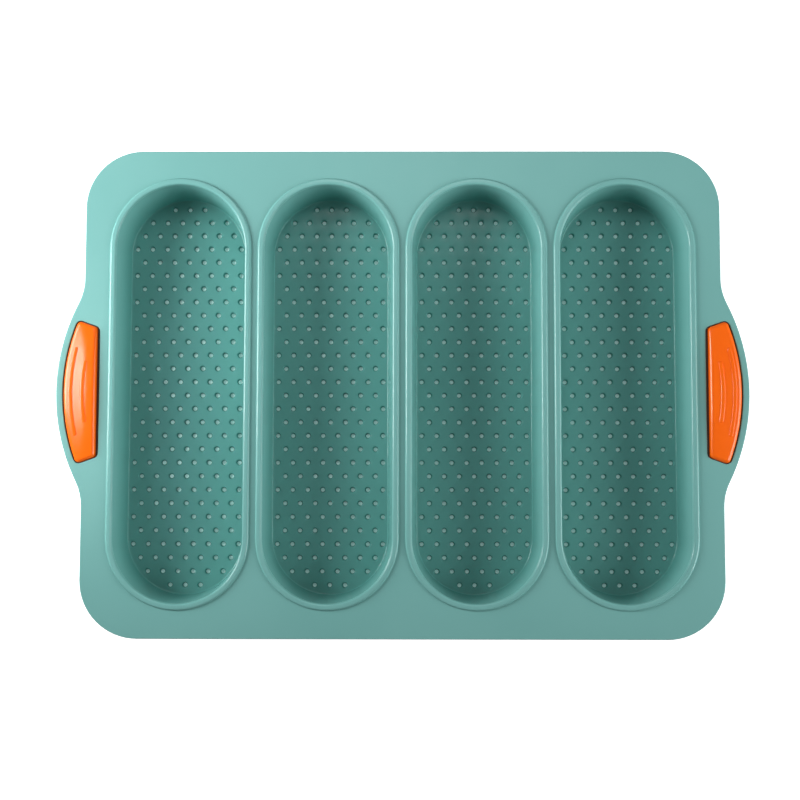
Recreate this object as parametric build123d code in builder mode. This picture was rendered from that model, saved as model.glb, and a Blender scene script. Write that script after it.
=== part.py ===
from build123d import *

import os
from math import asin, cos, degrees, hypot, radians, sqrt, tan

# Silicone baguette tray: four perforated troughs in one moulding, a steel wire inside the rim,
# and a grip of two halves in each ear.
#
# X runs along the long side, through both ears; Y runs along the troughs; +Z is up.
# The origin is the middle of the tray, on the surface that the trough floors stand on.
# Lengths are in millimetres.

# ---------------------------------------------------------------- deck and rim
deck_length = 332.0  # X, without the ears
deck_width = 254.0  # Y
deck_corner_radius = 30.0
deck_thickness = 2.2
rim_height = 6.0  # the thick edge that holds the wire
rim_width = 7.4
rim_edge_radius = 0.9
rim_foot_radius = 1.6

# ---------------------------------------------------------------- ears
ear_reach = 14.0  # how far an ear stands out past the deck's side
ear_radius = 104.0
ear_blend_radius = 30.0
ear_pad_margin = 3.8  # material between the grip's window and the pad's inner side

# ---------------------------------------------------------------- troughs
trough_count = 4
trough_pitch = 77.3
trough_mouth_width = 67.4
trough_mouth_length = 218.4
trough_depth = 25.8  # from the top of the lip to the floor
trough_draft = 5.8  # degrees, each wall
wall_thickness = 1.8
floor_thickness = 1.8
floor_inner_radius = 1.2
floor_outer_radius = 2.6
lip_band = 3.3  # width of the raised lip round each mouth
lip_height = 1.3
lip_radius = 0.6

# ---------------------------------------------------------------- perforations
hole_diameter = 2.8
hole_pitch = 8.08  # along a row, X
hole_row_pitch = 7.25  # from row to row, Y; every other row is shifted half a pitch
hole_edge_margin = 2.3  # least distance from a hole's centre to the floor's edge

# ---------------------------------------------------------------- wire ring
wire_diameter = 3.0
wire_inset = 4.0  # from the deck's edge to the wire's axis
wire_bulge = 7.2  # how far the ring bows out into each grip
wire_bulge_radius = 92.0
wire_bend_radius = 15.0
wire_clearance = 0.1

# ---------------------------------------------------------------- grips
grip_inner_length = 67.4  # Y, the straight side towards the troughs
grip_outer_length = 74.6  # Y, where the end faces meet the curved side
grip_inner_from_edge = 7.0  # from the deck's side inwards to the grip's straight side
ear_border = 3.9  # width of tray material outside the grip
grip_gap = 0.6
grip_proud_top = 2.8  # the crown's highest line above the deck
grip_side_proud = 0.9  # the curved side's top edge above the deck
grip_slope_width = 11.0  # from the curved side inwards to the crown
grip_crown_radius = 25.0  # where the slope runs into the flat
grip_proud_base = 0.8
grip_corner_radius = 1.6
grip_top_radius = 0.5
grip_base_radius = 0.6
rib_width = 1.7
rib_height = 0.5
rib_edge_radius = 0.2
outer_rib_inset = 4.1  # from the grip's curved side to the rib's middle
outer_rib_length = 44.0
inner_rib_inset = 10.4
inner_rib_length = 30.0
peg_diameter = 2.4
peg_height = 2.0
peg_clearance = 0.05
peg_tip_clearance = 0.4
inner_peg_spread = 16.0  # Y, between the two pegs at the straight side
inner_peg_inset = 3.6
outer_peg_spread = 62.0  # Y, between the two pegs at the curved side
outer_peg_inset = 2.9

same_place = 0.01  # two values nearer than this are one

# ---------------------------------------------------------------- levels and places that follow
lip_top = floor_thickness + trough_depth
deck_top = lip_top - lip_height
deck_underside = deck_top - deck_thickness
rim_bottom = deck_top - rim_height
wire_level = deck_top - rim_height / 2

side_x = deck_length / 2
ear_tip_x = side_x + ear_reach
ear_centre_x = ear_tip_x - ear_radius
ear_blend_x = side_x - ear_centre_x + ear_blend_radius
ear_root_y = sqrt((ear_radius + ear_blend_radius) ** 2 - ear_blend_x**2)

floor_shrink = tan(radians(trough_draft)) * trough_depth
floor_width = trough_mouth_width - 2 * floor_shrink
floor_length = trough_mouth_length - 2 * floor_shrink
skin = wall_thickness / cos(radians(trough_draft))

grip_inner_x = side_x - grip_inner_from_edge
pad_inner_x = grip_inner_x - ear_pad_margin
grip_outer_x = ear_tip_x - ear_border
grip_arc_radius = ear_radius - ear_border
grip_corner_x = ear_centre_x + sqrt(grip_arc_radius**2 - (grip_outer_length / 2) ** 2)

grip_top = deck_top + grip_proud_top
grip_base = rim_bottom - grip_proud_base

inner_peg_x = grip_inner_x + inner_peg_inset
outer_peg_chord_x = sqrt(grip_arc_radius**2 - (outer_peg_spread / 2) ** 2)
outer_peg_x = ear_centre_x + outer_peg_chord_x - outer_peg_inset

ring_side_x = side_x - wire_inset
ring_bulge_centre_x = ring_side_x + wire_bulge - wire_bulge_radius

trough_spots = GridLocations(trough_pitch, 0, trough_count, 1)
peg_spots = Locations(
    (inner_peg_x, inner_peg_spread / 2),
    (inner_peg_x, -inner_peg_spread / 2),
    (outer_peg_x, outer_peg_spread / 2),
    (outer_peg_x, -outer_peg_spread / 2),
)


def eared_loop(half_x, half_y, corner, bow_x, bow_radius, blend, level):
    """Closed line at a level: a rounded rectangle whose two short sides bow out.

    bow_x is the centre of the right-hand bow's arc; blend is the radius that leads into it.
    """
    blend_x = half_x + blend
    root_y = sqrt((bow_radius + blend) ** 2 - (blend_x - bow_x) ** 2)
    turn = degrees(asin(root_y / (bow_radius + blend)))
    with BuildLine(Plane.XY.offset(level)) as loop:
        CenterArc((bow_x, 0), bow_radius, 0, turn)
        CenterArc((blend_x, root_y), blend, 180, turn)
        Line((half_x, root_y), (half_x, half_y - corner))
        CenterArc((half_x - corner, half_y - corner), corner, 0, 90)
        Line((half_x - corner, half_y), (0, half_y))
        mirror(about=Plane.XZ)
        mirror(about=Plane.YZ)
    return loop.wires()[0]


def grip_outline():
    """Right-hand grip seen from above: straight inside, arc outside, slanted ends."""
    half_in = grip_inner_length / 2
    half_out = grip_outer_length / 2
    with BuildSketch() as outline:
        with BuildLine():
            Polyline(
                (grip_corner_x, half_out),
                (grip_inner_x, half_in),
                (grip_inner_x, -half_in),
                (grip_corner_x, -half_out),
            )
            ThreePointArc(
                (grip_corner_x, -half_out), (grip_outer_x, 0), (grip_corner_x, half_out)
            )
        make_face()
        fillet(outline.vertices(), grip_corner_radius)
    return outline.sketch


def grip_block(bottom, extra):
    """Right-hand grip from a level up to its crown, which stands higher by an extra amount.

    The crown is flat along the straight side, and slopes down to the curved side all along it.
    """
    crown = grip_top + extra
    fall = (grip_proud_top - grip_side_proud) / grip_slope_width
    ridge_x = grip_outer_x - grip_slope_width
    with BuildPart() as block:
        with BuildSketch(Plane.XZ):
            with BuildLine():
                FilletPolyline(
                    (pad_inner_x, crown),
                    (ridge_x, crown),
                    (ear_tip_x, crown - fall * (ear_tip_x - ridge_x)),
                    radius=grip_crown_radius,
                )
                Line((ear_tip_x, crown - fall * (ear_tip_x - ridge_x)), (ear_tip_x, bottom))
                Line((ear_tip_x, bottom), (pad_inner_x, bottom))
                Line((pad_inner_x, bottom), (pad_inner_x, crown))
            make_face()
        revolve(axis=Axis((ear_centre_x, 0, 0), (0, 0, 1)))
        with BuildSketch(Plane.XY.offset(bottom)):
            add(grip_face)
        extrude(amount=grip_top, mode=Mode.INTERSECT)
    return block.part


def edges_above(part, level):
    """Edges that lie wholly above a level."""
    return part.edges().filter_by(lambda e: e.bounding_box().min.Z > level)


def rib_pair():
    """Two bars that follow the grip's curved side and stand up from its crown."""
    with BuildPart() as ribs:
        for inset, length in (
            (outer_rib_inset, outer_rib_length),
            (inner_rib_inset, inner_rib_length),
        ):
            radius = grip_arc_radius - inset
            half_angle = degrees(asin(length / 2 / radius))
            with BuildLine() as spine:
                CenterArc((ear_centre_x, 0), radius, -half_angle, 2 * half_angle)
            with BuildSketch(Plane.XY.offset(deck_top)):
                SlotArc(spine.wires()[0], rib_width)
            extrude(amount=grip_proud_top + rib_height)
        add(grip_block(deck_top, rib_height), mode=Mode.INTERSECT)
        fillet(edges_above(ribs, deck_top), rib_edge_radius)
    return ribs.part


def hole_spots():
    """Centres of one trough's perforations, in staggered rows that stop short of the floor's edge."""
    reach = floor_width / 2 - hole_edge_margin
    spine_half = (floor_length - floor_width) / 2
    rows = int((spine_half + reach) / hole_row_pitch)
    columns = int(reach / hole_pitch) + 1
    spots = []
    for row in range(-rows, rows + 1):
        shift = hole_pitch / 2 if row % 2 else 0.0
        y = row * hole_row_pitch
        past_spine = max(abs(y) - spine_half, 0.0)
        for column in range(-columns, columns + 1):
            x = column * hole_pitch + shift
            if hypot(x, past_spine) <= reach:
                spots.append((x, y))
    return spots


def wire_solid(radius):
    """A round bar that follows the ring's centre line."""
    path = eared_loop(
        ring_side_x,
        deck_width / 2 - wire_inset,
        deck_corner_radius - wire_inset,
        ring_bulge_centre_x,
        wire_bulge_radius,
        wire_bend_radius,
        wire_level,
    )
    with BuildPart() as bar:
        with BuildSketch(Plane(origin=path @ 0, z_dir=path % 0)):
            Circle(radius)
        sweep(path=path)
    return bar.part


with BuildSketch() as tray_outline:
    add(
        eared_loop(
            side_x,
            deck_width / 2,
            deck_corner_radius,
            ear_centre_x,
            ear_radius,
            ear_blend_radius,
            0,
        )
    )
    make_face()
outline = tray_outline.sketch
grip_face = grip_outline()
wire_channel = wire_solid(wire_diameter / 2 + wire_clearance)

# ---------------------------------------------------------------- tray body
with BuildPart() as tray_body:
    # Deck plate, and the thick rim under its edge.
    with BuildSketch(Plane.XY.offset(deck_underside)):
        add(outline)
    extrude(amount=deck_thickness)
    with BuildSketch(Plane.XY.offset(rim_bottom)):
        add(outline)
        offset(outline, -rim_width, kind=Kind.ARC, mode=Mode.SUBTRACT)
    extrude(amount=rim_height)

    # Each ear is as thick as the rim all round its window.
    with BuildSketch(Plane.XY.offset(rim_bottom)):
        Rectangle(2 * ear_tip_x, 2 * ear_root_y)
        Rectangle(2 * pad_inner_x, 2 * ear_root_y, mode=Mode.SUBTRACT)
        add(outline, mode=Mode.INTERSECT)
    extrude(amount=rim_height)
    outer_top = tray_body.faces().filter_by(Axis.Z).sort_by(Axis.Z)[-1].outer_wire().edges()
    fillet(outer_top, rim_edge_radius)
    foot = tray_body.faces().filter_by(Axis.Z).group_by(Axis.Z)[0].edges()
    fillet(foot, rim_foot_radius)

    # Trough skins, hung from the lips, and the lips themselves.
    with BuildSketch(Plane.XY.offset(lip_top)):
        with trough_spots:
            SlotOverall(
                trough_mouth_length + 2 * skin, trough_mouth_width + 2 * skin, rotation=90
            )
    extrude(amount=-lip_top, taper=trough_draft)
    soles = tray_body.faces().filter_by(Axis.Z).group_by(Axis.Z)[0].edges()
    fillet(soles, floor_outer_radius)
    with BuildSketch(Plane.XY.offset(deck_underside)):
        with trough_spots:
            SlotOverall(
                trough_mouth_length + 2 * lip_band, trough_mouth_width + 2 * lip_band, rotation=90
            )
    extrude(amount=lip_top - deck_underside)

    # Hollow troughs.
    with BuildSketch(Plane.XY.offset(lip_top)):
        with trough_spots:
            SlotOverall(trough_mouth_length, trough_mouth_width, rotation=90)
    extrude(amount=-trough_depth, taper=trough_draft, mode=Mode.SUBTRACT)
    corners = tray_body.edges().filter_by_position(
        Axis.Z, floor_thickness - same_place, floor_thickness + same_place
    )
    fillet(corners, floor_inner_radius)
    lip_edges = tray_body.faces().filter_by(Axis.Z).group_by(Axis.Z)[-1].edges()
    fillet(lip_edges, lip_radius)

    # Windows for the grips and the channel that the wire lies in.
    with BuildSketch(Plane.XY.offset(rim_bottom)):
        add(grip_face)
        offset(amount=grip_gap, kind=Kind.ARC)
        mirror(about=Plane.YZ)
    extrude(amount=rim_height, mode=Mode.SUBTRACT)
    add(wire_channel, mode=Mode.SUBTRACT)

    # Perforated floors.
    with BuildSketch(Plane.XY):
        with trough_spots:
            with Locations(*hole_spots()):
                Circle(hole_diameter / 2)
    extrude(amount=floor_thickness, mode=Mode.SUBTRACT)

# ---------------------------------------------------------------- wire ring
with BuildPart() as frame_ring:
    add(wire_solid(wire_diameter / 2))

# ---------------------------------------------------------------- grip halves
# The upper half is crowned and carries two raised ribs; the wire lies half in each half.
with BuildPart() as grip_right_upper:
    add(grip_block(wire_level, 0))
    fillet(edges_above(grip_right_upper, deck_top), grip_top_radius)
    add(rib_pair())
    with BuildSketch(Plane.XY.offset(wire_level)):
        with peg_spots:
            Circle(peg_diameter / 2 + peg_clearance)
    extrude(amount=peg_height + peg_tip_clearance, mode=Mode.SUBTRACT)
    add(wire_channel, mode=Mode.SUBTRACT)

# The lower half is flat underneath and carries the pegs.
with BuildPart() as grip_right_lower:
    with BuildSketch(Plane.XY.offset(grip_base)):
        add(grip_face)
    extrude(amount=wire_level - grip_base)
    fillet(grip_right_lower.faces().sort_by(Axis.Z)[0].edges(), grip_base_radius)
    with BuildSketch(Plane.XY.offset(wire_level)):
        with peg_spots:
            Circle(peg_diameter / 2)
    extrude(amount=peg_height)
    add(wire_channel, mode=Mode.SUBTRACT)

with BuildPart() as grip_left_upper:
    mirror(grip_right_upper.part, about=Plane.YZ)

with BuildPart() as grip_left_lower:
    mirror(grip_right_lower.part, about=Plane.YZ)

# ---------------------------------------------------------------- files
os.makedirs("parts", exist_ok=True)

tray_body.part.label = "tray_body"
export_step(tray_body.part, "parts/tray_body.step")

frame_ring.part.label = "frame_ring"
export_step(frame_ring.part, "parts/frame_ring.step")

grip_right_upper.part.label = "grip_right_upper"
export_step(grip_right_upper.part, "parts/grip_right_upper.step")

grip_right_lower.part.label = "grip_right_lower"
export_step(grip_right_lower.part, "parts/grip_right_lower.step")

grip_left_upper.part.label = "grip_left_upper"
export_step(grip_left_upper.part, "parts/grip_left_upper.step")

grip_left_lower.part.label = "grip_left_lower"
export_step(grip_left_lower.part, "parts/grip_left_lower.step")
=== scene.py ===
# %% [markdown]
# # A silicone baguette tray
#
# The tray is one silicone moulding with four perforated troughs. A steel wire is buried in its
# rim, and an orange grip closes round that wire in each ear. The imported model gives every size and
# place; this lesson builds the moulding and the grips again with soft edges, and finishes them.
#
# Everything is in metres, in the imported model's own frame: X from ear to ear, Y along the troughs,
# +Z up, and the trough floors stand on z = 0.

from math import acos, asin, atan2, cos, pi, radians, sin, sqrt, tan

import bmesh
import bpy
from mathutils import Matrix, Vector


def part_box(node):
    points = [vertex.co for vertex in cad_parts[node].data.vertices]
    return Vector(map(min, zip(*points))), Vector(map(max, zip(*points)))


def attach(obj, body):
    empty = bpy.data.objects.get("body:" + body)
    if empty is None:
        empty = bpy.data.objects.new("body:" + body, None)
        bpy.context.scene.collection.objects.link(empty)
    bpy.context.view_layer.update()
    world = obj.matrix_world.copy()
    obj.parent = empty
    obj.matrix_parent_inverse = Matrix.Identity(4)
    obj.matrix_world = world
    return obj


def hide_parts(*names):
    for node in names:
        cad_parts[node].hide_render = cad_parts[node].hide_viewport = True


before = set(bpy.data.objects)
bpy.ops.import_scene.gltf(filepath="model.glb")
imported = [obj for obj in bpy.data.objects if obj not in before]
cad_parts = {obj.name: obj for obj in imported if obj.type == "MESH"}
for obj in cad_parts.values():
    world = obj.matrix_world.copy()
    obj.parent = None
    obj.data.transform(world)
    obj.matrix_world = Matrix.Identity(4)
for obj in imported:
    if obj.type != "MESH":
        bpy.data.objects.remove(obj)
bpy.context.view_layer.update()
mm = 0.001
print("nodes:", sorted(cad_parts))

# %% [markdown]
# ## Sizes
#
# The moulding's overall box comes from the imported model. What the box can't tell, such as a corner
# radius or the width of a lip, is a named size here. Levels and places follow from those, so one
# changed size carries through the whole tray.

# %% Sizes and levels
tray_low, tray_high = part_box("tray_body")
grip_low, grip_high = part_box("grip_right_upper")

ear_tip_x = tray_high.x
lip_top = tray_high.z
deck_half_y = tray_high.y

ear_reach = 14 * mm
ear_radius = 104 * mm
ear_blend_radius = 30 * mm
deck_corner_radius = 30 * mm
deck_thickness = 2.2 * mm
rim_height = 6 * mm
rim_width = 7.4 * mm
rim_edge_radius = 0.45 * mm
rim_foot_radius = 1.6 * mm
pad_margin = 3.8 * mm

trough_count = 4
trough_pitch = 77.3 * mm
mouth_width = 67.4 * mm
mouth_length = 218.4 * mm
trough_draft = radians(5.8)
wall = 1.8 * mm
floor_top = 1.8 * mm
floor_inner_radius = 0.8 * mm
floor_outer_radius = 2.6 * mm
lip_band = 3.3 * mm
lip_height = 1.3 * mm
lip_outer_radius = 1.2 * mm
lip_inner_radius = 1.1 * mm

hole_radius = 1.6 * mm
hole_foot_radius = 1.05 * mm
hole_flare = 0.2 * mm
hole_pitch = 8.08 * mm
hole_row_pitch = 7.25 * mm
hole_edge_margin = 2.3 * mm

deck_top = lip_top - lip_height
deck_underside = deck_top - deck_thickness
rim_bottom = deck_top - rim_height
side_x = ear_tip_x - ear_reach
ear_centre_x = ear_tip_x - ear_radius
spine_half = (mouth_length - mouth_width) / 2
trough_depth = lip_top - floor_top
floor_half = mouth_width / 2 - tan(trough_draft) * trough_depth
print("deck top at", round(deck_top / mm, 2), "mm")
print("half a trough floor is", round(floor_half / mm, 2), "mm wide")

# %% [markdown]
# ## Drawing outlines like a draughtsman
#
# Every outline on the tray is made of straight runs and arcs of a circle. A single point is
# extruded for a straight run, and spun round a centre for an arc, so each curve is exact. The
# closed line is then filled with one face, ready for insets.

# %% A pen that draws straight runs and arcs
def deselect_objects():
    """Leaves nothing selected and no object in edit mode."""
    if bpy.context.mode != "OBJECT":
        bpy.ops.object.mode_set(mode="OBJECT")
    bpy.ops.object.select_all(action="DESELECT")


def draw_outline(name, start, moves, level):
    """One flat face at a level, whose edge starts at a point and follows the moves."""
    deselect_objects()
    bpy.ops.mesh.primitive_plane_add(size=mm, location=(0, 0, 0))
    piece = bpy.context.object
    piece.name = name
    bpy.ops.object.mode_set(mode="EDIT")
    bpy.ops.mesh.select_all(action="SELECT")
    bpy.ops.mesh.merge(type="CENTER")
    pen = Vector((start[0], start[1], level))
    bpy.ops.transform.translate(value=pen)
    for move in moves:
        if move[0] == "line":
            target = Vector((move[1], move[2], level))
            strides = move[3] if len(move) > 3 else 1
            stride = {"value": (target - pen) / strides}
            for _ in range(strides):
                bpy.ops.mesh.extrude_region_move(TRANSFORM_OT_translate=stride)
            pen = target
        else:
            centre, turn, steps = Vector((move[1], move[2], level)), move[3], move[4]
            bpy.ops.mesh.spin(steps=steps, angle=-turn, center=centre, axis=(0, 0, 1))
            pen = centre + Matrix.Rotation(turn, 3, "Z") @ (pen - centre)
    bpy.ops.mesh.select_all(action="SELECT")
    bpy.ops.mesh.remove_doubles(threshold=0.001 * mm)
    bpy.ops.mesh.edge_face_add()
    return piece


# %% [markdown]
# A cross-section is a short list of corners, each with its own rounding. The helper swaps every
# corner for a little arc. `follow_profile` then walks the selected face along that section: inset
# moves its edge inwards by the same amount all round, and depth lifts or lowers it.

# %% Rounded cross-sections, and a face that follows one
def rounded_profile(corners, radii, steps=5):
    """Points (inwards, height) along a section whose inner corners are rounded."""
    points = [Vector(corners[0])]
    for before, here, after, radius in zip(corners, corners[1:], corners[2:], radii):
        here = Vector(here)
        back = (Vector(before) - here).normalized()
        ahead = (Vector(after) - here).normalized()
        half = acos(max(-1.0, min(1.0, back.dot(ahead)))) / 2
        centre = here + (back + ahead).normalized() * radius / sin(half)
        first = here + back * radius / tan(half) - centre
        last = here + ahead * radius / tan(half) - centre
        sweep = first.angle_signed(last)
        for step in range(steps + 1):
            turn = Matrix.Rotation(-sweep * step / steps, 2)
            points.append(centre + turn @ first)
    points.append(Vector(corners[-1]))
    return points


def follow_profile(points, up=1):
    """The one selected face is moved and shrunk ring by ring along a section."""
    for here, after in zip(points, points[1:]):
        inwards = max(after.x - here.x, 0)
        rise = after.y - here.y
        if (after - here).length > 0.001 * mm:
            bpy.ops.mesh.inset(thickness=inwards, depth=rise * up)


def face_up(upwards):
    """Turns the only face of a new outline so that it looks up or down."""
    mesh = bmesh.from_edit_mesh(bpy.context.object.data)
    mesh.faces.ensure_lookup_table()
    mesh.normal_update()
    if (mesh.faces[0].normal.z > 0) != upwards:
        bpy.ops.mesh.flip_normals()


# %% [markdown]
# ## One trough
#
# Seen from above, a trough is a slot with round ends. The face starts at the foot of the raised
# lip. It climbs the lip, crosses it, goes down the slightly slanted wall and rounds into the
# floor. The thin skin underneath follows its own section, from the deck's underside to the sole.

# %% The lip, wall and floor from above, and the skin below
def slot_moves(half_width):
    """Moves that draw a slot with round ends, from its right side at the front."""
    return [
        ("line", half_width, spine_half),
        ("arc", 0, spine_half, pi, 32),
        ("line", -half_width, -spine_half),
        ("arc", 0, -spine_half, pi, 32),
    ]


def drop_selected_face():
    """Takes the last face away, and leaves its edge open."""
    bpy.ops.mesh.delete(type="ONLY_FACE")
    bpy.ops.object.mode_set(mode="OBJECT")


shrink = tan(trough_draft) * trough_depth
lip_half = mouth_width / 2 + lip_band
lip_section = rounded_profile(
    [
        (0, deck_top),
        (0, lip_top),
        (lip_band, lip_top),
        (lip_band + shrink, floor_top),
        (lip_band + shrink + 2 * floor_inner_radius, floor_top),
    ],
    [lip_outer_radius, lip_inner_radius, floor_inner_radius],
)[:-1]
trough = draw_outline("trough_top", (lip_half, -spine_half), slot_moves(lip_half), deck_top)
face_up(True)
follow_profile(lip_section)
drop_selected_face()

skin = wall / cos(trough_draft)
skin_top_half = mouth_width / 2 + skin - tan(trough_draft) * (lip_top - deck_underside)
skin_shrink = tan(trough_draft) * deck_underside
skin_section = rounded_profile(
    [(0, deck_underside), (skin_shrink, 0), (skin_shrink + 2 * floor_outer_radius, 0)],
    [floor_outer_radius],
)[:-1]
trough_skin = draw_outline(
    "trough_skin", (skin_top_half, -spine_half), slot_moves(skin_top_half), deck_underside
)
face_up(False)
follow_profile(skin_section, up=-1)
drop_selected_face()
print("lip section has", len(lip_section), "rings; skin section has", len(skin_section))

# %% [markdown]
# ## The perforations
#
# Hot air reaches the dough through rows of small round holes. A tapered pin in the mould makes
# each one, so it narrows downwards, and its upper edge has a slight flare. Drilling 820 holes with
# booleans can be slow and can leave ragged faces, so one hole is modelled as a bare tube.

# %% One hole
hole_sides = 16
deselect_objects()
bpy.ops.mesh.primitive_circle_add(
    vertices=hole_sides, radius=hole_radius + hole_flare, location=(0, 0, floor_top)
)
hole = bpy.context.object
bpy.ops.object.transform_apply(location=True, rotation=False, scale=False)
bpy.ops.object.mode_set(mode="EDIT")
bpy.ops.mesh.select_all(action="SELECT")
for drop, width in (
    (hole_flare, hole_radius / (hole_radius + hole_flare)),
    (floor_top - hole_flare, hole_foot_radius / hole_radius),
):
    bpy.ops.mesh.extrude_region_move(TRANSFORM_OT_translate={"value": (0, 0, -drop)})
    bpy.ops.transform.resize(value=(width, width, 1), center_override=(0, 0, 0))
bpy.ops.object.mode_set(mode="OBJECT")
print("one hole has", len(hole.data.polygons), "faces")


# %% [markdown]
# The tube is copied to every place in the staggered grid. The rows stop where a hole would come
# too near the floor's edge, also round the slot's ends.

# %% Every hole of a trough
def hole_spots():
    """Centres of a trough's holes, in staggered rows that stop short of the floor's edge."""
    reach = floor_half - hole_edge_margin
    rows = int((spine_half + reach) / hole_row_pitch)
    columns = int(reach / hole_pitch) + 1
    spots = []
    for row in range(-rows, rows + 1):
        shift = hole_pitch / 2 if row % 2 else 0
        y = row * hole_row_pitch
        past_spine = max(abs(y) - spine_half, 0)
        for column in range(-columns, columns + 1):
            x = column * hole_pitch + shift
            if sqrt(x * x + past_spine * past_spine) <= reach:
                spots.append(Vector((x, y, 0)))
    return spots


def copy_of(piece, shift):
    """A second piece with its own mesh, moved over."""
    twin = piece.copy()
    twin.data = piece.data.copy()
    twin.data.transform(Matrix.Translation(shift))
    bpy.context.scene.collection.objects.link(twin)
    return twin


def join_all(pieces, name):
    """Several objects become one, in the first one's place."""
    deselect_objects()
    for piece in pieces:
        piece.select_set(True)
    bpy.context.view_layer.objects.active = pieces[0]
    bpy.ops.object.join()
    pieces[0].name = name
    return pieces[0]


spots = hole_spots()
holes = [copy_of(hole, spot) for spot in spots]
bpy.data.objects.remove(hole)
trough = join_all([trough, trough_skin] + holes, "trough")
print("holes in one trough:", len(spots))


# %% [markdown]
# The flat floor is now filled in between the wall's edge and all the holes at once, and the sole
# below likewise. That is why every piece so far left its edges open.

# %% Fill the floor and the sole between the holes
def fill_flat(piece, level):
    """Fills the flat area between all the open edges that lie at a level."""
    deselect_objects()
    bpy.context.view_layer.objects.active = piece
    piece.select_set(True)
    bpy.ops.object.mode_set(mode="EDIT")
    bpy.ops.mesh.select_all(action="DESELECT")
    mesh = bmesh.from_edit_mesh(piece.data)
    for edge in mesh.edges:
        open_edge = len(edge.link_faces) < 2
        edge.select_set(open_edge and all(abs(v.co.z - level) < 0.01 * mm for v in edge.verts))
    bmesh.update_edit_mesh(piece.data)
    bpy.ops.mesh.fill(use_beauty=True)
    bpy.ops.object.mode_set(mode="OBJECT")


fill_flat(trough, floor_top)
fill_flat(trough, 0)
print("one trough has", len(trough.data.polygons), "faces")

# %% [markdown]
# ## Deck, rim and ears
#
# The deck is a rounded rectangle with an ear bowing out of each short side. Its edge is a thick
# round-footed rim, in which the wire lies. The same pen draws the outline, the inner side of the
# rim with its two thick ear pads, and the windows that the grips sit in.

# %% The outer edge
blend_x = side_x + ear_blend_radius
root_y = sqrt((ear_radius + ear_blend_radius) ** 2 - (blend_x - ear_centre_x) ** 2)
ear_turn = asin(root_y / (ear_radius + ear_blend_radius))
corner_x = side_x - deck_corner_radius
corner_y = deck_half_y - deck_corner_radius
outline_moves = []
for side in (1, -1):
    outline_moves += [
        ("line", side * side_x, -side * root_y),
        ("arc", side * blend_x, -side * root_y, -ear_turn, 12),
        ("arc", side * ear_centre_x, 0, 2 * ear_turn, 40),
        ("arc", side * blend_x, side * root_y, -ear_turn, 12),
        ("line", side * side_x, side * corner_y),
        ("arc", side * corner_x, side * corner_y, pi / 2, 16),
        ("line", -side * corner_x, side * deck_half_y),
        ("arc", -side * corner_x, side * corner_y, pi / 2, 16),
    ]
start = (side_x, -corner_y)
foot_level = rim_bottom + rim_foot_radius
rim_upper = draw_outline("rim_upper", start, outline_moves, foot_level)
face_up(True)
follow_profile(
    rounded_profile(
        [(0, foot_level), (0, deck_top), (2 * rim_edge_radius, deck_top)], [rim_edge_radius]
    )
)
drop_selected_face()

rim_lower = draw_outline("rim_lower", start, outline_moves, foot_level)
face_up(False)
follow_profile(
    rounded_profile(
        [(0, foot_level), (0, rim_bottom), (2 * rim_foot_radius, rim_bottom)], [rim_foot_radius]
    )[:-1],
    up=-1,
)
drop_selected_face()
print("outline has", len(rim_upper.data.vertices), "points above its foot's rounding")
print("and", len(rim_lower.data.vertices), "points below it")

# %% [markdown]
# Under the deck, the rim's inner side runs along the outline too. Behind each ear it swings
# inwards to make a thick pad, because the window for the grip goes through there.

# %% The inner side of the rim, with a thick pad behind each ear
pad_corner = 2 * mm
pad_x = grip_low.x - pad_margin + rim_foot_radius
inner_x = side_x - rim_width + rim_foot_radius
inner_y = deck_half_y - rim_width + rim_foot_radius
pad_half_y = root_y - rim_foot_radius
inner_moves = []
for side in (1, -1):
    inner_moves += [
        ("line", side * inner_x, -side * pad_half_y),
        ("line", side * (pad_x + pad_corner), -side * pad_half_y),
        ("arc", side * (pad_x + pad_corner), -side * (pad_half_y - pad_corner), -pi / 2, 5),
        ("line", side * pad_x, side * (pad_half_y - pad_corner)),
        ("arc", side * (pad_x + pad_corner), side * (pad_half_y - pad_corner), -pi / 2, 5),
        ("line", side * inner_x, side * pad_half_y),
        ("line", side * inner_x, side * corner_y),
        ("arc", side * corner_x, side * corner_y, pi / 2, 12),
        ("line", -side * corner_x, side * inner_y),
        ("arc", -side * corner_x, side * corner_y, pi / 2, 12),
    ]
rim_inside = draw_outline("rim_inside", (inner_x, -corner_y), inner_moves, rim_bottom)
face_up(True)
follow_profile(
    rounded_profile(
        [
            (-rim_foot_radius, rim_bottom),
            (rim_foot_radius, rim_bottom),
            (rim_foot_radius, deck_underside),
        ],
        [rim_foot_radius],
    )[1:]
)
drop_selected_face()
print("the rim's inner side has", len(rim_inside.data.vertices), "points")

# %% [markdown]
# A grip's outline has a straight side towards the troughs, slanted ends and a side that follows
# the ear's curve. All its corners are rounded. The window round it is the same outline, a small
# gap larger: each corner's arc keeps its centre and only takes a larger radius.

# %% The grips' outline
grip_gap = 0.5 * mm
straight_gap = 1.4 * mm
grip_arc_radius = grip_high.x - ear_centre_x
grip_inner_half = 33.7 * mm
grip_outer_half = 37.3 * mm
grip_corner = 2.3 * mm

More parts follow.
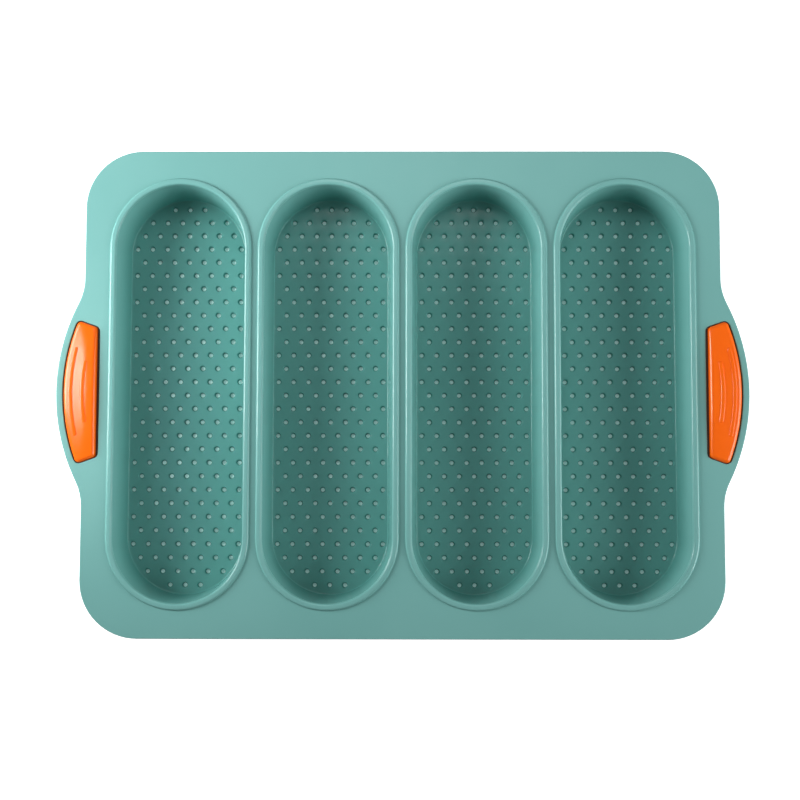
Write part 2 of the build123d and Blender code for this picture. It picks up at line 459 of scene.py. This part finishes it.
grip_corner_x = ear_centre_x + sqrt(grip_arc_radius**2 - grip_outer_half**2)
end_slant = atan2(grip_outer_half - grip_inner_half, grip_corner_x - grip_low.x)
end_normal = Vector((-sin(end_slant), cos(end_slant)))
end_along = Vector((cos(end_slant), sin(end_slant)))
inset_point = Vector((grip_low.x, grip_inner_half)) - end_normal * grip_corner
inner_arc = inset_point + end_along * (grip_low.x + grip_corner - inset_point.x) / end_along.x
from_ear = inset_point - Vector((ear_centre_x, 0))
along = from_ear.dot(end_along)
short_of = from_ear.length_squared - (grip_arc_radius - grip_corner) ** 2
outer_arc = inset_point + end_along * (sqrt(along**2 - short_of) - along)
print("corner centres:", [[round(v / mm, 2) for v in c] for c in (inner_arc, outer_arc)])


def draw_grip_outline(name, gap, level, more=0, side_steps=40, end_steps=12, corner_steps=5):
    """The right-hand grip's outline as one face, wider by a gap, and by more on its inner side."""
    round_corner = grip_corner + gap
    inner = inner_arc - end_along * more / end_along.x
    lean = pi / 2 - end_slant
    reach = atan2(outer_arc.y, outer_arc.x - ear_centre_x)
    outer_turn = pi / 2 + end_slant - reach
    low_end = outer_arc + end_normal * round_corner
    high_end = inner + end_normal * round_corner
    straight_x = inner.x - round_corner
    moves = [
        ("arc", inner.x, -inner.y, lean, corner_steps),
        ("line", low_end.x, -low_end.y, end_steps),
        ("arc", outer_arc.x, -outer_arc.y, outer_turn, corner_steps),
        ("arc", ear_centre_x, 0, 2 * reach, side_steps),
        ("arc", outer_arc.x, outer_arc.y, outer_turn, corner_steps),
        ("line", high_end.x, high_end.y, end_steps),
        ("arc", inner.x, inner.y, lean, corner_steps),
        ("line", straight_x, -inner.y, side_steps),
    ]
    return draw_outline(name, (straight_x, -inner.y), moves, level)


# %% [markdown]
# The window's edge is rounded over, and its wall goes down to a narrow seat that stops just short
# of the grip. The seat closes the gap, so no light comes up through it and it reads as a dark
# line. Below the seat the window goes on down to the rim's foot. The left window is the right one
# mirrored, and a mirror turns the faces inside out, so they are flipped back.

# %% The windows in the ears
window_edge_radius = 0.35 * mm
seat_depth = 1.45 * mm
seat_gap = 0.04 * mm


def mirrored(piece, name):
    """The left-hand twin of a right-hand piece, with its faces turned the right way again."""
    twin = piece.copy()
    twin.data = piece.data.copy()
    twin.name = name
    twin.data.transform(Matrix.Scale(-1, 4, (1, 0, 0)))
    twin.data.flip_normals()
    bpy.context.scene.collection.objects.link(twin)
    return twin


def move_selected_points(allowed, target):
    """Slides the selected points that a test picks to a place along X."""
    mesh = bmesh.from_edit_mesh(bpy.context.object.data)
    for vertex in mesh.verts:
        if vertex.select and allowed(vertex.co):
            vertex.co.x = target
    bmesh.update_edit_mesh(bpy.context.object.data)


window_right = draw_grip_outline(
    "window_right", grip_gap + window_edge_radius, deck_top, straight_gap - grip_gap, 32, 1
)
face_up(False)
seat_level = deck_top - seat_depth
follow_profile(
    rounded_profile(
        [(-1 * mm, deck_top), (window_edge_radius, deck_top), (window_edge_radius, seat_level)],
        [window_edge_radius],
    )[1:],
    up=-1,
)
bpy.ops.mesh.inset(thickness=grip_gap - seat_gap, depth=0)
seat_x = grip_low.x - seat_gap
move_selected_points(lambda point: point.x < seat_x, seat_x)
bpy.ops.mesh.inset(thickness=0, depth=seat_level - rim_bottom)
drop_selected_face()
window_left = mirrored(window_right, "window_left")
print("a window has", len(window_right.data.polygons), "faces")

# %% [markdown]
# ## Closing the moulding
#
# The trough is copied three times. With every edge loop in place, the three flat areas are filled:
# the deck between the lips, its underside between the skins, and the foot of the rim. Nothing was
# cut, so the result is one closed skin.

# %% Four troughs, one skin
troughs = [
    copy_of(trough, Vector(((place - (trough_count - 1) / 2) * trough_pitch, 0, 0)))
    for place in range(trough_count)
]
bpy.data.objects.remove(trough)
tray = join_all(
    [rim_upper, rim_lower, rim_inside, window_right, window_left] + troughs, "silicone_tray"
)
fill_flat(tray, deck_top)
fill_flat(tray, deck_underside)
fill_flat(tray, rim_bottom)


# %% [markdown]
# Pieces that only touch aren't joined yet. Merging their doubled points makes one skin, and an
# edge count proves it: no edge may be left with a face on one side only. Flat areas then keep flat
# shading beside their rounded edges, because the normals are weighted by the size of the faces.

# %% Close and smooth the moulding
smooth_angle = radians(50)


def close_skin(piece):
    """Merges touching points and turns every face outwards."""
    deselect_objects()
    bpy.context.view_layer.objects.active = piece
    piece.select_set(True)
    bpy.ops.object.mode_set(mode="EDIT")
    bpy.ops.mesh.select_all(action="SELECT")
    bpy.ops.mesh.remove_doubles(threshold=0.002 * mm)
    bpy.ops.mesh.normals_make_consistent(inside=False)
    mesh = bmesh.from_edit_mesh(piece.data)
    open_edges = sum(1 for edge in mesh.edges if len(edge.link_faces) != 2)
    bpy.ops.object.mode_set(mode="OBJECT")
    triangles = sum(len(face.vertices) - 2 for face in piece.data.polygons)
    print(piece.name, "has", triangles, "triangles and", open_edges, "open edges")


def soften(piece, angle):
    """Smooth shading, with flat areas kept flat beside their rounded edges."""
    deselect_objects()
    bpy.context.view_layer.objects.active = piece
    piece.select_set(True)
    bpy.ops.object.shade_smooth_by_angle(angle=angle)
    weights = piece.modifiers.new("flat_areas", "WEIGHTED_NORMAL")
    weights.keep_sharp = True
    bpy.ops.object.modifier_apply(modifier=weights.name)


close_skin(tray)
soften(tray, smooth_angle)

# %% [markdown]
# ## The grips
#
# A grip's top is crowned: nearly flat beside the troughs and sloping down towards the ear's edge.
# One formula gives that height anywhere: the lower of a flat and a slope, with the crease between
# them rounded. The cap and the ribs both use it, so they always fit each other.

# %% The height of a grip's top
crown_rise = 2.8 * mm
crown_end_fall = 1.3 * mm
curved_side_rise = 0.9 * mm
slope_width = 12.5 * mm
crown_blend = 0.3 * mm
grip_edge_radius = 1.9 * mm
rib_width = 2.2 * mm
rib_rise = 0.42 * mm
rib_edge_radius = 0.55 * mm
ribs = ((4.1 * mm, 44 * mm), (10.4 * mm, 30 * mm))


def soft_min(a, b, blend):
    """The smaller of two heights, with the crease between them rounded."""
    mix = max(0, min(1, 0.5 + 0.5 * (b - a) / blend))
    return b * (1 - mix) + a * mix - blend * mix * (1 - mix)


def crown_height(x, y):
    """Height of the grip's top above the deck."""
    from_centre = sqrt((x - ear_centre_x) ** 2 + y**2)
    flat = crown_rise - crown_end_fall * (y / grip_inner_half) ** 2
    fall = (crown_rise - curved_side_rise) / slope_width
    slope = curved_side_rise + fall * (grip_arc_radius - from_centre)
    return soft_min(flat, slope, crown_blend)


print("crown beside the troughs:", round(crown_height(grip_low.x, 0) / mm, 2), "mm over the deck")

# %% [markdown]
# The outline climbs from the parting plane, rounds over and is then shrunk in rings towards the
# middle. Every point above the parting is lifted by the crown's height. Rings keep the points
# evenly spread, so the crown's crease comes out smooth.

# %% The right grip's cap, ring by ring
parting = grip_low.z
middle_x = (grip_low.x + grip_high.x) / 2
half_width = (grip_high.x - grip_low.x) / 2
half_length = grip_high.y
last_half_width = 0.45 * mm
ring_count = 15


def lift_to_crown(piece, floor_level, ring_radius=None):
    """Raises every point above a level by the crown's height at its place.

    With a radius, the height is taken on the arc of that radius, so a rib stays level across.
    """
    for vertex in piece.data.vertices:
        if vertex.co.z > floor_level + 0.01 * mm:
            x, y = vertex.co.x - ear_centre_x, vertex.co.y
            inward = ring_radius / sqrt(x * x + y * y) if ring_radius else 1
            vertex.co.z += crown_height(ear_centre_x + x * inward, y * inward)


grip = draw_grip_outline("orange_grip_right", 0, parting)
face_up(True)
cap_section = rounded_profile(
    [(0, parting), (0, deck_top), (2 * grip_edge_radius, deck_top)], [grip_edge_radius], 6
)[:-1]
follow_profile(cap_section)
shrunk = grip_edge_radius
ring_span = half_width - last_half_width - grip_edge_radius
for ring in range(1, ring_count + 1):
    target = grip_edge_radius + ring_span * ring / ring_count
    narrower = (half_width - target) / (half_width - shrunk)
    shorter = (half_length - target) / (half_length - shrunk)
    bpy.ops.mesh.extrude_region_move(TRANSFORM_OT_translate={"value": (0, 0, 0)})
    bpy.ops.transform.resize(value=(narrower, shorter, 1), center_override=(middle_x, 0, deck_top))
    shrunk = target
bpy.ops.mesh.quads_convert_to_tris(quad_method="BEAUTY", ngon_method="BEAUTY")
bpy.ops.object.mode_set(mode="OBJECT")
fill_flat(grip, parting)
lift_to_crown(grip, parting)
print("grip cap:", len(grip.data.polygons), "faces")

# %% [markdown]
# Two raised ribs give the thumb a hold. Each is a low bar with round ends that follows the grip's
# curved side. It is sunk a little into the crown and joined to it, as if both were moulded in one.

# %% The two raised ribs
def raised_rib(inset, length):
    """A low round-ended bar that follows the grip's curved side and is sunk into the crown."""
    radius = grip_arc_radius - inset
    half = rib_width / 2
    turn = asin(length / 2 / radius)
    tip = Vector((ear_centre_x + radius * cos(turn), radius * sin(turn)))
    start = (ear_centre_x + (radius + half) * cos(turn), -(radius + half) * sin(turn))
    moves = [
        ("arc", ear_centre_x, 0, 2 * turn, 44),
        ("arc", tip.x, tip.y, pi, 8),
        ("arc", ear_centre_x, 0, -2 * turn, 44),
        ("arc", tip.x, -tip.y, pi, 8),
    ]
    sunk, top = deck_top - rib_edge_radius, deck_top + rib_rise
    rib = draw_outline("rib", start, moves, sunk)
    face_up(True)
    follow_profile(rounded_profile([(0, sunk), (0, top), (half, top)], [rib_edge_radius], 6)[:-1])
    bpy.ops.mesh.quads_convert_to_tris(quad_method="BEAUTY", ngon_method="BEAUTY")
    bpy.ops.object.mode_set(mode="OBJECT")
    fill_flat(rib, sunk)
    lift_to_crown(rib, 0, radius)
    return rib


grip = join_all([grip] + [raised_rib(*sizes) for sizes in ribs], "orange_grip_right")
close_skin(grip)
soften(grip, smooth_angle)
grip_left = mirrored(grip, "orange_grip_left")

# %% [markdown]
# ## Which piece stands for which node
#
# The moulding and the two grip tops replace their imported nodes. The wire inside the rim and the
# grips' lower halves already have the right shape, so those nodes stay and only get a finish.

# %% Ride and replace
for piece, node, slot in (
    (tray, "tray_body", "silicone_teal"),
    (grip, "grip_right_upper", "silicone_orange"),
    (grip_left, "grip_left_upper", "silicone_orange"),
):
    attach(piece, "root")
    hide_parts(node)
    low = [min(v.co[axis] for v in piece.data.vertices) for axis in range(3)]
    high = [max(v.co[axis] for v in piece.data.vertices) for axis in range(3)]
    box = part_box(node)
    print(piece.name, "differs from its node's box by, in mm:")
    print("   low", [round((a - b) / mm, 2) for a, b in zip(low, box[0])])
    print("   high", [round((a - b) / mm, 2) for a, b in zip(high, box[1])])

# %% [markdown]
# ## Silicone
#
# Cured silicone is a soft satin rubber: one colour right through, a little cloudy, with a broad
# pale sheen and a very fine skin. All of that can be noise on Object coordinates, at three sizes:
# broad clouds in the colour, soft patches in the gloss, and a fine grain in the bump. A printed
# skin would need unfolding and would blur close up; noise does neither.
#
# The finishes share a helper that adds a node, sets it and joins it in one call.

# %% A helper that lays out nodes
class NodeSheet:
    """A new material whose nodes are added and joined by short calls."""

    def __init__(self, name):
        self.material = bpy.data.materials.new(name)
        self.material.use_nodes = True
        self.tree = self.material.node_tree
        self.tree.nodes.clear()
        self.output = self.add("ShaderNodeOutputMaterial")
        self.column = 0

    def add(self, kind, inputs=(), **settings):
        node = self.tree.nodes.new(kind)
        for key, value in settings.items():
            setattr(node, key, value)
        for socket, value in dict(inputs).items():
            if isinstance(value, bpy.types.NodeSocket):
                self.tree.links.new(value, node.inputs[socket])
            else:
                node.inputs[socket].default_value = value
        return node

    def ramp(self, factor, stops):
        node = self.add("ShaderNodeValToRGB", {"Fac": factor})
        elements = node.color_ramp.elements
        while len(elements) < len(stops):
            elements.new(0.5)
        for element, (place, colour) in zip(elements, stops):
            element.position = place
            element.color = (*colour, 1)
        return node.outputs["Color"]

    def between(self, factor, low_in, high_in, low_out, high_out):
        inputs = {0: factor, 1: low_in, 2: high_in, 3: low_out, 4: high_out}
        return self.add("ShaderNodeMapRange", inputs).outputs[0]


# %% [markdown]
# A deep trough looks darker and richer in colour than the open deck. Light that bounces between its
# walls does part of that, and the rest is painted in: the colour is deepened from the deck's
# underside down to the floors, to a chosen tint.

# %% The teal's colour
teal_cloudy = (0.184, 0.452, 0.425)
teal_clear = (0.204, 0.482, 0.453)
trough_painted_shade = (0.64, 0.82, 0.80)

teal = NodeSheet("teal_silicone")
place = teal.add("ShaderNodeTexCoord").outputs["Object"]
height = teal.add("ShaderNodeSeparateXYZ", {"Vector": place}).outputs["Z"]
clouds = teal.add("ShaderNodeTexNoise", {"Vector": place, "Scale": 14.0, "Detail": 3.0})
colour = teal.ramp(clouds.outputs["Fac"], [(0.3, teal_cloudy), (0.7, teal_clear)])
# Painted shade: the teal is darkened and deepened from the deck's underside down to the trough
# floors.
above_floor = teal.between(height, floor_top, deck_underside, 0, 1)
deepened = teal.ramp(above_floor, [(0.0, trough_painted_shade), (1.0, (1.0, 1.0, 1.0))])
colour = teal.add(
    "ShaderNodeMix", {0: 1.0, 6: colour, 7: deepened}, data_type="RGBA", blend_type="MULTIPLY"
).outputs[2]
print("the teal deepens over", round((deck_underside - floor_top) / mm, 1), "mm")

# %% [markdown]
# The gap round a grip reads as a dark line. The seat alone is too shallow to be that dark under soft
# light, so a painted shade in dark brown is laid on the groove's walls and seat. Four limits hold
# the painted shade in: below the deck's rounded edge, not below the seat, inside the ear's edge and
# out past the troughs. Each runs from 0 to 1, and their product is the mask.

# %% Painted shade in the groove round the grips
groove_painted_shade_colour = (0.085, 0.075, 0.055, 1)
groove_top = deck_top - 0.35 * mm
groove_full = deck_top - 0.75 * mm
groove_foot = seat_level - 0.3 * mm
groove_reach = ear_radius - 1.2 * mm
groove_start = grip_low.x - ear_centre_x - 4 * mm

either_side = teal.add("ShaderNodeVectorMath", {0: place}, operation="ABSOLUTE").outputs[0]
from_ear = {0: either_side, 1: (ear_centre_x, 0, 0)}
from_ear = teal.add("ShaderNodeVectorMath", from_ear, operation="SUBTRACT").outputs[0]
along_deck = {0: from_ear, 1: (1, 1, 0)}
along_deck = teal.add("ShaderNodeVectorMath", along_deck, operation="MULTIPLY").outputs[0]
reach = teal.add("ShaderNodeVectorMath", {0: along_deck}, operation="LENGTH").outputs["Value"]
outwards = teal.add("ShaderNodeSeparateXYZ", {"Vector": from_ear}).outputs["X"]
groove = teal.between(height, groove_top, groove_full, 0, 1)
for limit in (
    teal.between(height, groove_foot, groove_foot + 0.2 * mm, 0, 1),
    teal.between(reach, groove_reach - 0.4 * mm, groove_reach, 1, 0),
    teal.between(outwards, groove_start, groove_start + 1 * mm, 0, 1),
):
    groove = teal.add("ShaderNodeMath", {0: groove, 1: limit}, operation="MULTIPLY").outputs[0]
# Painted shade: dark brown is mixed in wherever the groove mask reaches 1.
inks = {0: groove, 6: colour, 7: groove_painted_shade_colour}
colour = teal.add("ShaderNodeMix", inks, data_type="RGBA").outputs[2]
print("the groove is darkest", round((deck_top - groove_full) / mm, 2), "mm below the deck")

# %% [markdown]
# The walls and lips shine more than the deck does, as from a mould that is polished in the troughs
# and duller round them. The gloss changes within half a millimetre of the deck's level, and soft
# patches make it uneven. A fine grain in the bump keeps highlights from looking like glass.

# %% The teal's gloss and grain
deck_roughness = 0.38
polished_roughness = 0.2

patches = teal.add("ShaderNodeTexNoise", {"Vector": place, "Scale": 90.0, "Detail": 4.0})
off_deck = teal.add("ShaderNodeMath", {0: height, 1: deck_top}, operation="SUBTRACT").outputs[0]
off_deck = teal.add("ShaderNodeMath", {0: off_deck}, operation="ABSOLUTE").outputs[0]
polish = teal.between(off_deck, 0.05 * mm, 0.4 * mm, deck_roughness, polished_roughness)
uneven = teal.between(patches.outputs["Fac"], 0.3, 0.7, -0.04, 0.04)
gloss = teal.add("ShaderNodeMath", {0: polish, 1: uneven}, operation="ADD").outputs[0]
grain = teal.add("ShaderNodeTexNoise", {"Vector": place, "Scale": 1400.0, "Detail": 2.0})
bump = teal.add(
    "ShaderNodeBump",
    {"Height": grain.outputs["Fac"], "Strength": 0.12, "Distance": 0.15 * mm},
)
teal_shader = teal.add(
    "ShaderNodeBsdfPrincipled",
    {"Base Color": colour, "Roughness": gloss, "IOR": 1.42, "Normal": bump.outputs[0]},
)
teal.tree.links.new(teal_shader.outputs[0], teal.output.inputs["Surface"])
tray.data.materials.clear()
tray.data.materials.append(teal.material)
print("teal silicone has", len(teal.tree.nodes), "nodes")

# %% [markdown]
# The grips look glossier than the tray. Orange rubber scatters light inside itself, which keeps
# its shaded parts bright. Subsurface scattering could do that at the price of noise; a very weak
# glow stands in for it here. The glow isn't real light, so it would show in a dark room.

# %% Orange silicone
orange_cloudy = (0.97, 0.142, 0.001)
orange_clear = (1.0, 0.158, 0.001)
inner_glow = (1.0, 0.06, 0.0, 1.0)

orange = NodeSheet("orange_silicone")
place = orange.add("ShaderNodeTexCoord").outputs["Object"]
clouds = orange.add("ShaderNodeTexNoise", {"Vector": place, "Scale": 40.0, "Detail": 3.0})
colour = orange.ramp(clouds.outputs["Fac"], [(0.3, orange_cloudy), (0.7, orange_clear)])
patches = orange.add("ShaderNodeTexNoise", {"Vector": place, "Scale": 160.0, "Detail": 4.0})
gloss = orange.between(patches.outputs["Fac"], 0.3, 0.7, 0.15, 0.20)
grain = orange.add("ShaderNodeTexNoise", {"Vector": place, "Scale": 1800.0, "Detail": 2.0})
bump = orange.add(
    "ShaderNodeBump",
    {"Height": grain.outputs["Fac"], "Strength": 0.12, "Distance": 0.12 * mm},
)
orange_shader = orange.add(
    "ShaderNodeBsdfPrincipled",
    {
        "Base Color": colour,
        "Roughness": gloss,
        "IOR": 1.42,
        "Normal": bump.outputs[0],
        "Emission Color": inner_glow,
        "Emission Strength": 0.09,
    },
)
orange.tree.links.new(orange_shader.outputs[0], orange.output.inputs["Surface"])
print("orange silicone has", len(orange.tree.nodes), "nodes")

# %% [markdown]
# ## Steel
#
# The ring is taken to be drawn spring wire. Drawing leaves fine marks, so the noise is fine. The
# grey is kept dull, so that no glint of the wire shows beside a grip.

# %% Steel wire
wire_dark = (0.36, 0.36, 0.37)
wire_pale = (0.46, 0.46, 0.47)

steel = NodeSheet("drawn_steel")
place = steel.add("ShaderNodeTexCoord").outputs["Object"]
lines = steel.add("ShaderNodeTexNoise", {"Vector": place, "Scale": 1100.0, "Detail": 3.0})
tone = steel.ramp(lines.outputs["Fac"], [(0.35, wire_dark), (0.65, wire_pale)])
gloss = steel.between(lines.outputs["Fac"], 0.3, 0.7, 0.36, 0.48)
wire_shader = steel.add(
    "ShaderNodeBsdfPrincipled", {"Base Color": tone, "Metallic": 1.0, "Roughness": gloss}
)
steel.tree.links.new(wire_shader.outputs[0], steel.output.inputs["Surface"])
print("drawn steel has", len(steel.tree.nodes), "nodes")

# %% [markdown]
# The new grips get their finish on the mesh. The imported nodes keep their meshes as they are, so
# only the material in their slots is swapped.

# %% Give every shown piece its finish
for piece in (grip, grip_left):
    piece.data.materials.clear()
    piece.data.materials.append(orange.material)
for node, finish in (
    ("grip_right_lower", orange),
    ("grip_left_lower", orange),
    ("frame_ring", steel),
):
    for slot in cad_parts[node].material_slots:
        slot.material = finish.material
    print(node, "is finished in", finish.material.name)

# %% [markdown]
# ## Floor
#
# The tray lies on white paper. Lit only by the lamps, the paper would come out grey, so it also
# shows itself white to the camera. That glow fades out under the tray, where the tray's shadow
# lies, and it lights nothing. Under the soles the paper is painted a faint teal with a weak glow,
# in place of light that comes through the rubber, and that is what shows in the holes. From below,
# the paper is left out, so that the underside can be looked at.
#
# All the masks are distances on one quarter of the paper, because both halves are alike.

# %% Distances on the paper
floor_size = 6.0
floor_drop = 0.1 * mm
shadow_reach = 12 * mm
shadow_margin = 2 * mm
tint_fade = 1.5 * mm
no_limit = (-1, 0, 0)

deselect_objects()
bpy.ops.mesh.primitive_plane_add(size=floor_size, location=(0, 0, -floor_drop))
floor = bpy.context.object
floor.name = "studio_floor"
paper = NodeSheet("white_paper")
spot = paper.add("ShaderNodeTexCoord").outputs["Object"]
spot = paper.add("ShaderNodeVectorMath", {0: spot}, operation="ABSOLUTE").outputs[0]


def away_from(middle, lowest=no_limit):
    """How far the paper lies from a place, with each side's distance not counted below a limit."""
    past = paper.add("ShaderNodeVectorMath", {0: spot, 1: middle}, operation="SUBTRACT").outputs[0]
    past = paper.add("ShaderNodeVectorMath", {0: past, 1: lowest}, operation="MAXIMUM").outputs[0]
    return paper.add("ShaderNodeVectorMath", {0: past}, operation="LENGTH").outputs["Value"]


def clear_of(away, radius):
    """0 on the paper well under the tray, rising to 1 at the edge of a round shape."""
    return paper.between(away, radius - shadow_reach, radius + shadow_margin, 0, 1)


def times(a, b):
    """The product of two values."""
    return paper.add("ShaderNodeMath", {0: a, 1: b}, operation="MULTIPLY").outputs[0]


def plus(a, b):
    """The sum of two values."""
    return paper.add("ShaderNodeMath", {0: a, 1: b}, operation="ADD").outputs[0]


open_paper = times(
    clear_of(away_from((corner_x, corner_y, 0), (0, 0, 0)), deck_corner_radius),
    clear_of(away_from((ear_centre_x, 0, 0)), ear_radius),
)
last_hole = floor_half - hole_edge_margin + hole_radius
inner_line, outer_line = [
    away_from((pitches * trough_pitch, spine_half, 0)) for pitches in (0.5, 1.5)
]
under_troughs = plus(
    paper.between(inner_line, last_hole, last_hole + tint_fade, 1, 0),
    paper.between(outer_line, last_hole, last_hole + tint_fade, 1, 0),
)
print("the paper is teal up to", round(last_hole / mm, 1), "mm from a trough's middle line")

# %% [markdown]
# The paper's shader adds the glow to a plain matt white. Light Path's camera ray keeps the glow
# out of the lighting, and Backfacing swaps the whole sheet for nothing when seen from below.

# %% White paper
paper_white = (0.82, 0.82, 0.82)
paper_teal = (0.64, 0.96, 0.92)
glow_of_white = 1.12
glow_in_holes = 0.1

camera_ray = paper.add("ShaderNodeLightPath").outputs["Is Camera Ray"]
tone = paper.ramp(under_troughs, [(0.0, paper_white), (1.0, paper_teal)])
matt = paper.add("ShaderNodeBsdfDiffuse", {"Color": tone})
seen = plus(times(under_troughs, glow_in_holes), times(open_paper, glow_of_white))
seen = times(camera_ray, seen)
glow = paper.add("ShaderNodeEmission", {"Color": tone, "Strength": seen})
both = paper.add("ShaderNodeAddShader", {0: matt.outputs[0], 1: glow.outputs[0]})
from_below = paper.add("ShaderNodeNewGeometry").outputs["Backfacing"]
nothing = paper.add("ShaderNodeBsdfTransparent").outputs[0]
sheet = paper.add("ShaderNodeMixShader", {0: from_below, 1: both.outputs[0], 2: nothing})
paper.tree.links.new(sheet.outputs[0], paper.output.inputs["Surface"])
floor.data.materials.append(paper.material)
print("white paper has", len(paper.tree.nodes), "nodes")

# %% [markdown]
# ## Sky
#
# The room is white to the camera and through anything clear. For lighting it is dim, so that the
# lamps draw the shapes. Reflections see only a share of the white, because all of it lays a pale
# veil over the teal. A tray with bare metal on show would need all of it.

# %% A white room that lights the tray only a little
room_light = 0.1
mirrored_share = 0.22

world = bpy.data.worlds.new("studio_sky")
bpy.context.scene.world = world
world.use_nodes = True
sky = world.node_tree
sky.nodes.clear()
ray = sky.nodes.new("ShaderNodeLightPath")
seen_directly = sky.nodes.new("ShaderNodeMath")
seen_directly.operation = "MAXIMUM"
sky.links.new(ray.outputs["Is Camera Ray"], seen_directly.inputs[0])
sky.links.new(ray.outputs["Is Transmission Ray"], seen_directly.inputs[1])
seen = sky.nodes.new("ShaderNodeMath")
seen.operation = "MULTIPLY_ADD"
seen.inputs[1].default_value = mirrored_share
sky.links.new(ray.outputs["Is Glossy Ray"], seen.inputs[0])
sky.links.new(seen_directly.outputs[0], seen.inputs[2])
strength = sky.nodes.new("ShaderNodeMapRange")
strength.inputs["To Min"].default_value = room_light
strength.inputs["To Max"].default_value = 1.0
sky.links.new(seen.outputs[0], strength.inputs["Value"])
dome = sky.nodes.new("ShaderNodeBackground")
dome.inputs["Color"].default_value = (1, 1, 1, 1)
sky.links.new(strength.outputs[0], dome.inputs["Strength"])
sky_output = sky.nodes.new("ShaderNodeOutputWorld")
sky.links.new(dome.outputs[0], sky_output.inputs["Surface"])
print("the room lights at", room_light, "and shows at 1.0")

# %% [markdown]
# ## Lamps
#
# Four soft boxes light the tray. The left one is low and near, so the deck is brightest there and
# each trough's right wall catches it. The right one is wide and lifts the far side. The back one,
# high up, looks into the holes. A narrow beam draws the long highlight on the left grip's slope.

# %% Soft lamps
def soft_lamp(name, place, width, height, power, aim=(0, 0, 0), spread=180):
    """A rectangular area lamp that points at a place, with its spread in degrees."""
    lamp_data = bpy.data.lights.new(name, "AREA")
    lamp_data.shape = "RECTANGLE"
    lamp_data.size = width
    lamp_data.size_y = height
    lamp_data.energy = power
    lamp_data.spread = radians(spread)
    lamp = bpy.data.objects.new(name, lamp_data)
    lamp.location = place
    lamp.rotation_euler = (Vector(aim) - Vector(place)).to_track_quat("-Z", "Y").to_euler()
    bpy.context.scene.collection.objects.link(lamp)
    print(name, "gives", power, "W")


soft_lamp("left_lamp", (-0.55, 0.10, 0.25), 0.22, 0.34, 1.8, (-0.05, 0.15, 0), 110)
soft_lamp("grip_lamp", (-0.40, 0.05, 0.40), 0.14, 0.14, 0.010, (-0.172, 0, 0.03), 16)
soft_lamp("right_lamp", (0.80, -0.10, 0.32), 0.55, 0.55, 1.8, (0.05, 0.12, 0), 90)
soft_lamp("back_lamp", (0, 0.42, 0.70), 0.30, 0.30, 0.85)

# %% [markdown]
# ## Camera
#
# The camera looks down from two thirds of a metre, a little in front of the tray's middle, and is
# tipped by four degrees. A hair's turn about the other two axes sets the tray square in the frame.

# %% Camera
camera_place = (2.89 * mm, -47.42 * mm, 651.6 * mm)
tip, roll, twist = 0.0691, 0.0064, 0.001

camera_data = bpy.data.cameras.new("camera")
camera_data.sensor_width = 36.0
camera_data.lens = 54.4
camera = bpy.data.objects.new("camera", camera_data)
bpy.context.scene.collection.objects.link(camera)
turn = Matrix.Rotation(tip, 4, "X") @ Matrix.Rotation(roll, 4, "Y")
turn = turn @ Matrix.Rotation(twist, 4, "Z")
camera.matrix_world = Matrix.Translation(camera_place) @ turn
bpy.context.scene.camera = camera
bpy.context.scene.view_settings.view_transform = "Standard"
print("the camera is", round(camera_place[2], 3), "m above the floor")

# %% [markdown]
# ## Bring the scene up to date
#
# The scene's placements are updated once more. The new pieces must stay inside the imported model's
# box.

# %% Update the scene
bpy.context.view_layer.update()
